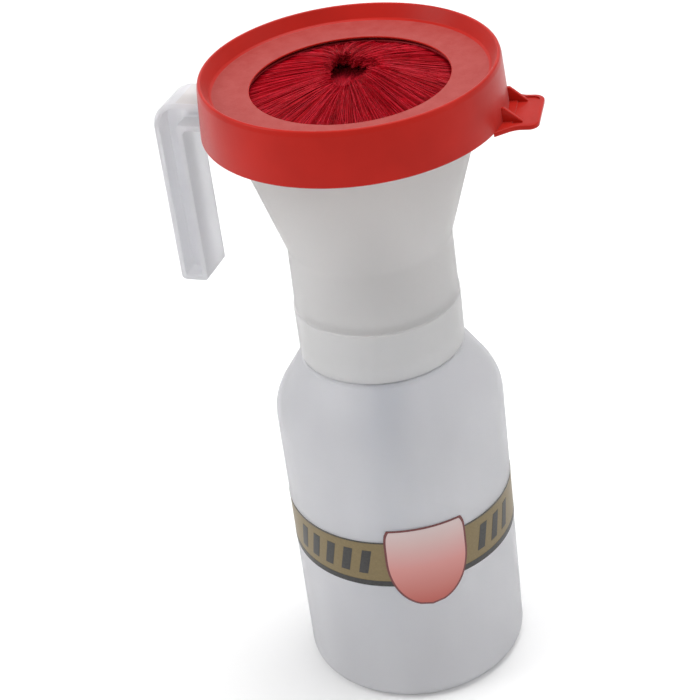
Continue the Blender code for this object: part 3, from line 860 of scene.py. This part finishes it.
def make_tuft(number, materials, rng):
    """Fine filaments from the channel to the hole, gathered in small pleats."""
    joint = JOINTS[f"bristle_bend_{number:02d}"]
    pivot = Vector(joint["pos_m"]) / MM
    middle = math.atan2(pivot.y, pivot.x)
    sector = math.tau / TUFTS
    count = FILAMENTS_PER_TUFT

    place = (np.arange(count) + rng.random(count)) / count
    azimuth = middle + (place - 0.5) * sector
    place_in_layer = rng.random(count)
    layer = np.sqrt(place_in_layer)
    pleat_of = np.minimum((place * PLEATS).astype(int), PLEATS - 1)
    pleat_middle = middle + ((pleat_of + 0.5) / PLEATS - 0.5) * sector
    pleat_middle = pleat_middle + rng.normal(0, 0.08, PLEATS)[pleat_of] * sector / PLEATS
    pleat_lift = rng.normal(0, 0.22, PLEATS)[pleat_of]
    pleat_reach = rng.normal(0, 0.45, PLEATS)[pleat_of]
    across = np.clip((azimuth - pleat_middle) / (sector / PLEATS / 2), -1, 1)
    gathered = azimuth + GATHER * (pleat_middle - azimuth)

    root = ROOT_RADIUS * np.column_stack([np.cos(azimuth), np.sin(azimuth)])
    root_height = ROOT_LOW + (ROOT_HIGH - ROOT_LOW) * layer
    aim = ROOT_RADIUS * np.column_stack([np.cos(gathered), np.sin(gathered)])
    low = lower_tip(aim, HOLE_RADIUS, HOLE_FOOT)
    high = upper_tip(gathered)
    tip = low + (high - low) * layer[:, None]
    droops = place_in_layer < DROOP_SHARE
    tip[droops] = lower_tip(aim, DROOP_RADIUS, DROOP_FOOT)[droops]
    reach = tip[:, :2] - root
    length = np.linalg.norm(reach, axis=1, keepdims=True)
    extra = rng.normal(0, 0.45, count) + pleat_reach
    tip[:, :2] += reach / length * extra[:, None] + rng.normal(0, 0.28, (count, 2))
    tip[:, 2] += (pleat_lift - 0.45 * across ** 2) * layer + rng.normal(0, 0.16, count)
    stray = rng.random(count) < STRAY_SHARE
    tip[stray, 2] += 0.9
    tip[:, 2] = np.minimum(tip[:, 2], LID_TOP - 0.4)

    share = np.linspace(0, 1, PATH_POINTS)[None, :, None]
    base = np.column_stack([root, root_height])[:, None, :]
    points = base + (tip[:, None, :] - base) * share
    side = np.column_stack([-reach[:, 1], reach[:, 0]]) / length
    pull = GATHER * (pleat_middle - azimuth) * ROOT_RADIUS
    gather = pull[:, None] * np.sin(share[..., 0] * math.pi) * 0.22
    drift = rng.normal(0, 0.20, count) * np.where(stray, 6.0, 1.0)
    sway = drift[:, None] * np.sin(share[..., 0] * math.pi)
    points[..., :2] += side[:, None, :] * (gather + sway)[..., None]
    bulge = (0.15 + 0.30 * (1 - across ** 2) + pleat_lift * 0.6) * layer
    bulge[droops] = 1.6
    bulge[stray] += 0.5
    points[..., 2] += bulge[:, None] * 2 * np.sqrt(share[..., 0] * (1 - share[..., 0]))

    size = np.full((count, PATH_POINTS), FILAMENT_RADIUS) * np.linspace(1.0, 0.8, PATH_POINTS)
    tone = rng.choice(len(materials), count, p=(0.34, 0.50, 0.16))
    # Drooping filaments deep in the hole take the brightest tone as painted light, so the shaded hole reads
    # dark red; the strays take it too.
    tone[droops | stray] = len(materials) - 1
    obj = strands(f"bristles_{number:02d}", points, size, tone, materials)
    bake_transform(obj)
    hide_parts(f"bristle_tuft_{number:02d}")


def strands(name, points, size, tone, materials):
    """Three-sided tubes along rows of points, as one mesh."""
    count, steps = points.shape[:2]
    along = np.gradient(points, axis=1)
    along /= np.linalg.norm(along, axis=2, keepdims=True)
    side = np.cross(along, np.array([0.0, 0.0, 1.0]))
    side /= np.linalg.norm(side, axis=2, keepdims=True)
    over = np.cross(side, along)
    ring = []
    for corner in range(3):
        angle = math.tau * corner / 3 + math.pi / 2
        ring.append(points + size[..., None] * (side * math.cos(angle) + over * math.sin(angle)))
    verts = np.stack(ring, axis=2).reshape(-1, 3) * MM

    base = (np.arange(count) * steps * 3)[:, None]
    quads = []
    for step in range(steps - 1):
        for corner in range(3):
            here = step * 3 + corner
            after = step * 3 + (corner + 1) % 3
            quads.append((here, after, after + 3, here + 3))
    quads = (np.array(quads)[None] + base[..., None]).reshape(-1, 4)
    last = (steps - 1) * 3
    caps = (np.array([(2, 1, 0), (last, last + 1, last + 2)])[None] + base[..., None]).reshape(-1, 3)

    mesh = bpy.data.meshes.new(name)
    mesh.from_pydata(verts.tolist(), [], quads.tolist() + caps.tolist())
    tones = np.concatenate([np.repeat(tone, (steps - 1) * 3), np.repeat(tone, 2)])
    for material in materials:
        mesh.materials.append(material)
    mesh.polygons.foreach_set("material_index", tones.astype(np.int32))
    mesh.shade_smooth()
    obj = bpy.data.objects.new(name, mesh)
    bpy.context.scene.collection.objects.link(obj)
    return obj


def make_brush():
    names = ("nylon_dark", "nylon_crimson", "nylon_pink")
    materials = [nylon_material(n, c, r) for n, c, r in zip(names, CRIMSON, (0.42, 0.36, 0.32))]
    make_brush_parts(materials[0])
    rng = np.random.default_rng(7)
    for number in range(1, TUFTS + 1):
        make_tuft(number, materials, rng)


# ---------------------------------------------------------------- stage, light and camera

VIEW_AZIMUTH = math.radians(22.5)  # the camera and the sweep are turned by this about the axis


def make_stage():
    material, shader = principled("pale_floor", (0.90, 0.90, 0.90), 0.9)
    bm = bmesh.new()
    path = [(-1.6, 0.0), (0.9, 0.0)] + arc((0.9, 0.5), 0.5, -90, 0, 16)[1:] + [(1.4, 2.2)]
    rows = [[bm.verts.new((x / MM, y / MM, z / MM)) for y, z in path] for x in (-2.2, 2.2)]
    for i in range(len(path) - 1):
        bm.faces.new((rows[0][i], rows[0][i + 1], rows[1][i + 1], rows[1][i]))
    floor = new_object("pale_sweep", bm, [material])
    floor.rotation_euler.z = VIEW_AZIMUTH


def area_light(name, place, target, size, power):
    data = bpy.data.lights.new(name, 'AREA')
    data.shape = 'DISK'
    data.size = size
    data.energy = power
    light = bpy.data.objects.new(name, data)
    bpy.context.scene.collection.objects.link(light)
    light.location = place
    light.rotation_euler = (Vector(target) - Vector(place)).to_track_quat('-Z', 'Y').to_euler()


def make_lights():
    world = bpy.data.worlds.new("soft_white")
    world.use_nodes = True
    background = world.node_tree.nodes["Background"]
    background.inputs["Color"].default_value = (1.0, 1.0, 1.0, 1.0)
    background.inputs["Strength"].default_value = 0.77
    bpy.context.scene.world = world
    bpy.context.scene.view_settings.view_transform = 'Standard'
    middle = (0, 0, 0.12)
    area_light("key", (-0.75, -0.45, 0.75), middle, 0.6, 3.8)
    area_light("top", (0.15, 0.25, 1.2), middle, 0.8, 8.0)
    area_light("side", (0.85, 0.05, 0.45), middle, 0.5, 0.45)


def make_camera():
    """The camera stands in front and above, turned a little round the axis towards the tab."""
    distance, height = 0.4885, 0.4218
    pitch, yaw, roll = 0.5659, -0.0209, -0.1359
    data = bpy.data.cameras.new("camera")
    data.sensor_width = 36.0
    data.lens = 98.2
    data.shift_y = 0.002
    data.clip_start = 0.01
    camera = bpy.data.objects.new("camera", data)
    bpy.context.scene.collection.objects.link(camera)
    bpy.context.scene.camera = camera
    turn = Matrix.Rotation(VIEW_AZIMUTH, 4, 'Z')
    stand = Matrix.Translation((0, -distance, height))
    aim = Matrix.Rotation(-yaw, 4, 'Z') @ Matrix.Rotation(math.radians(90) - pitch, 4, 'X')
    camera.matrix_world = turn @ stand @ aim @ Matrix.Rotation(roll, 4, 'Z')


# ---------------------------------------------------------------- build

milky_bottle = milky_material("milky_bottle_plastic", (0.83, 0.83, 0.855), (0.885, 0.885, 0.91))
# The cup's fade is painted shade: darker and warmer towards the red lid, lighter down at the skirt.
milky_cup = milky_material("milky_cup_plastic", (0.76, 0.735, 0.72), (0.91, 0.905, 0.905), (192, 126))
red_plastic = red_material()
make_bottle(milky_bottle)
make_print()
make_seal()
make_cup(milky_cup, milky_bottle)
make_standpipe(milky_cup)
make_dip_tube()
make_lid(red_plastic, dull_red_material())
make_brush()
make_stage()
make_lights()
make_camera()
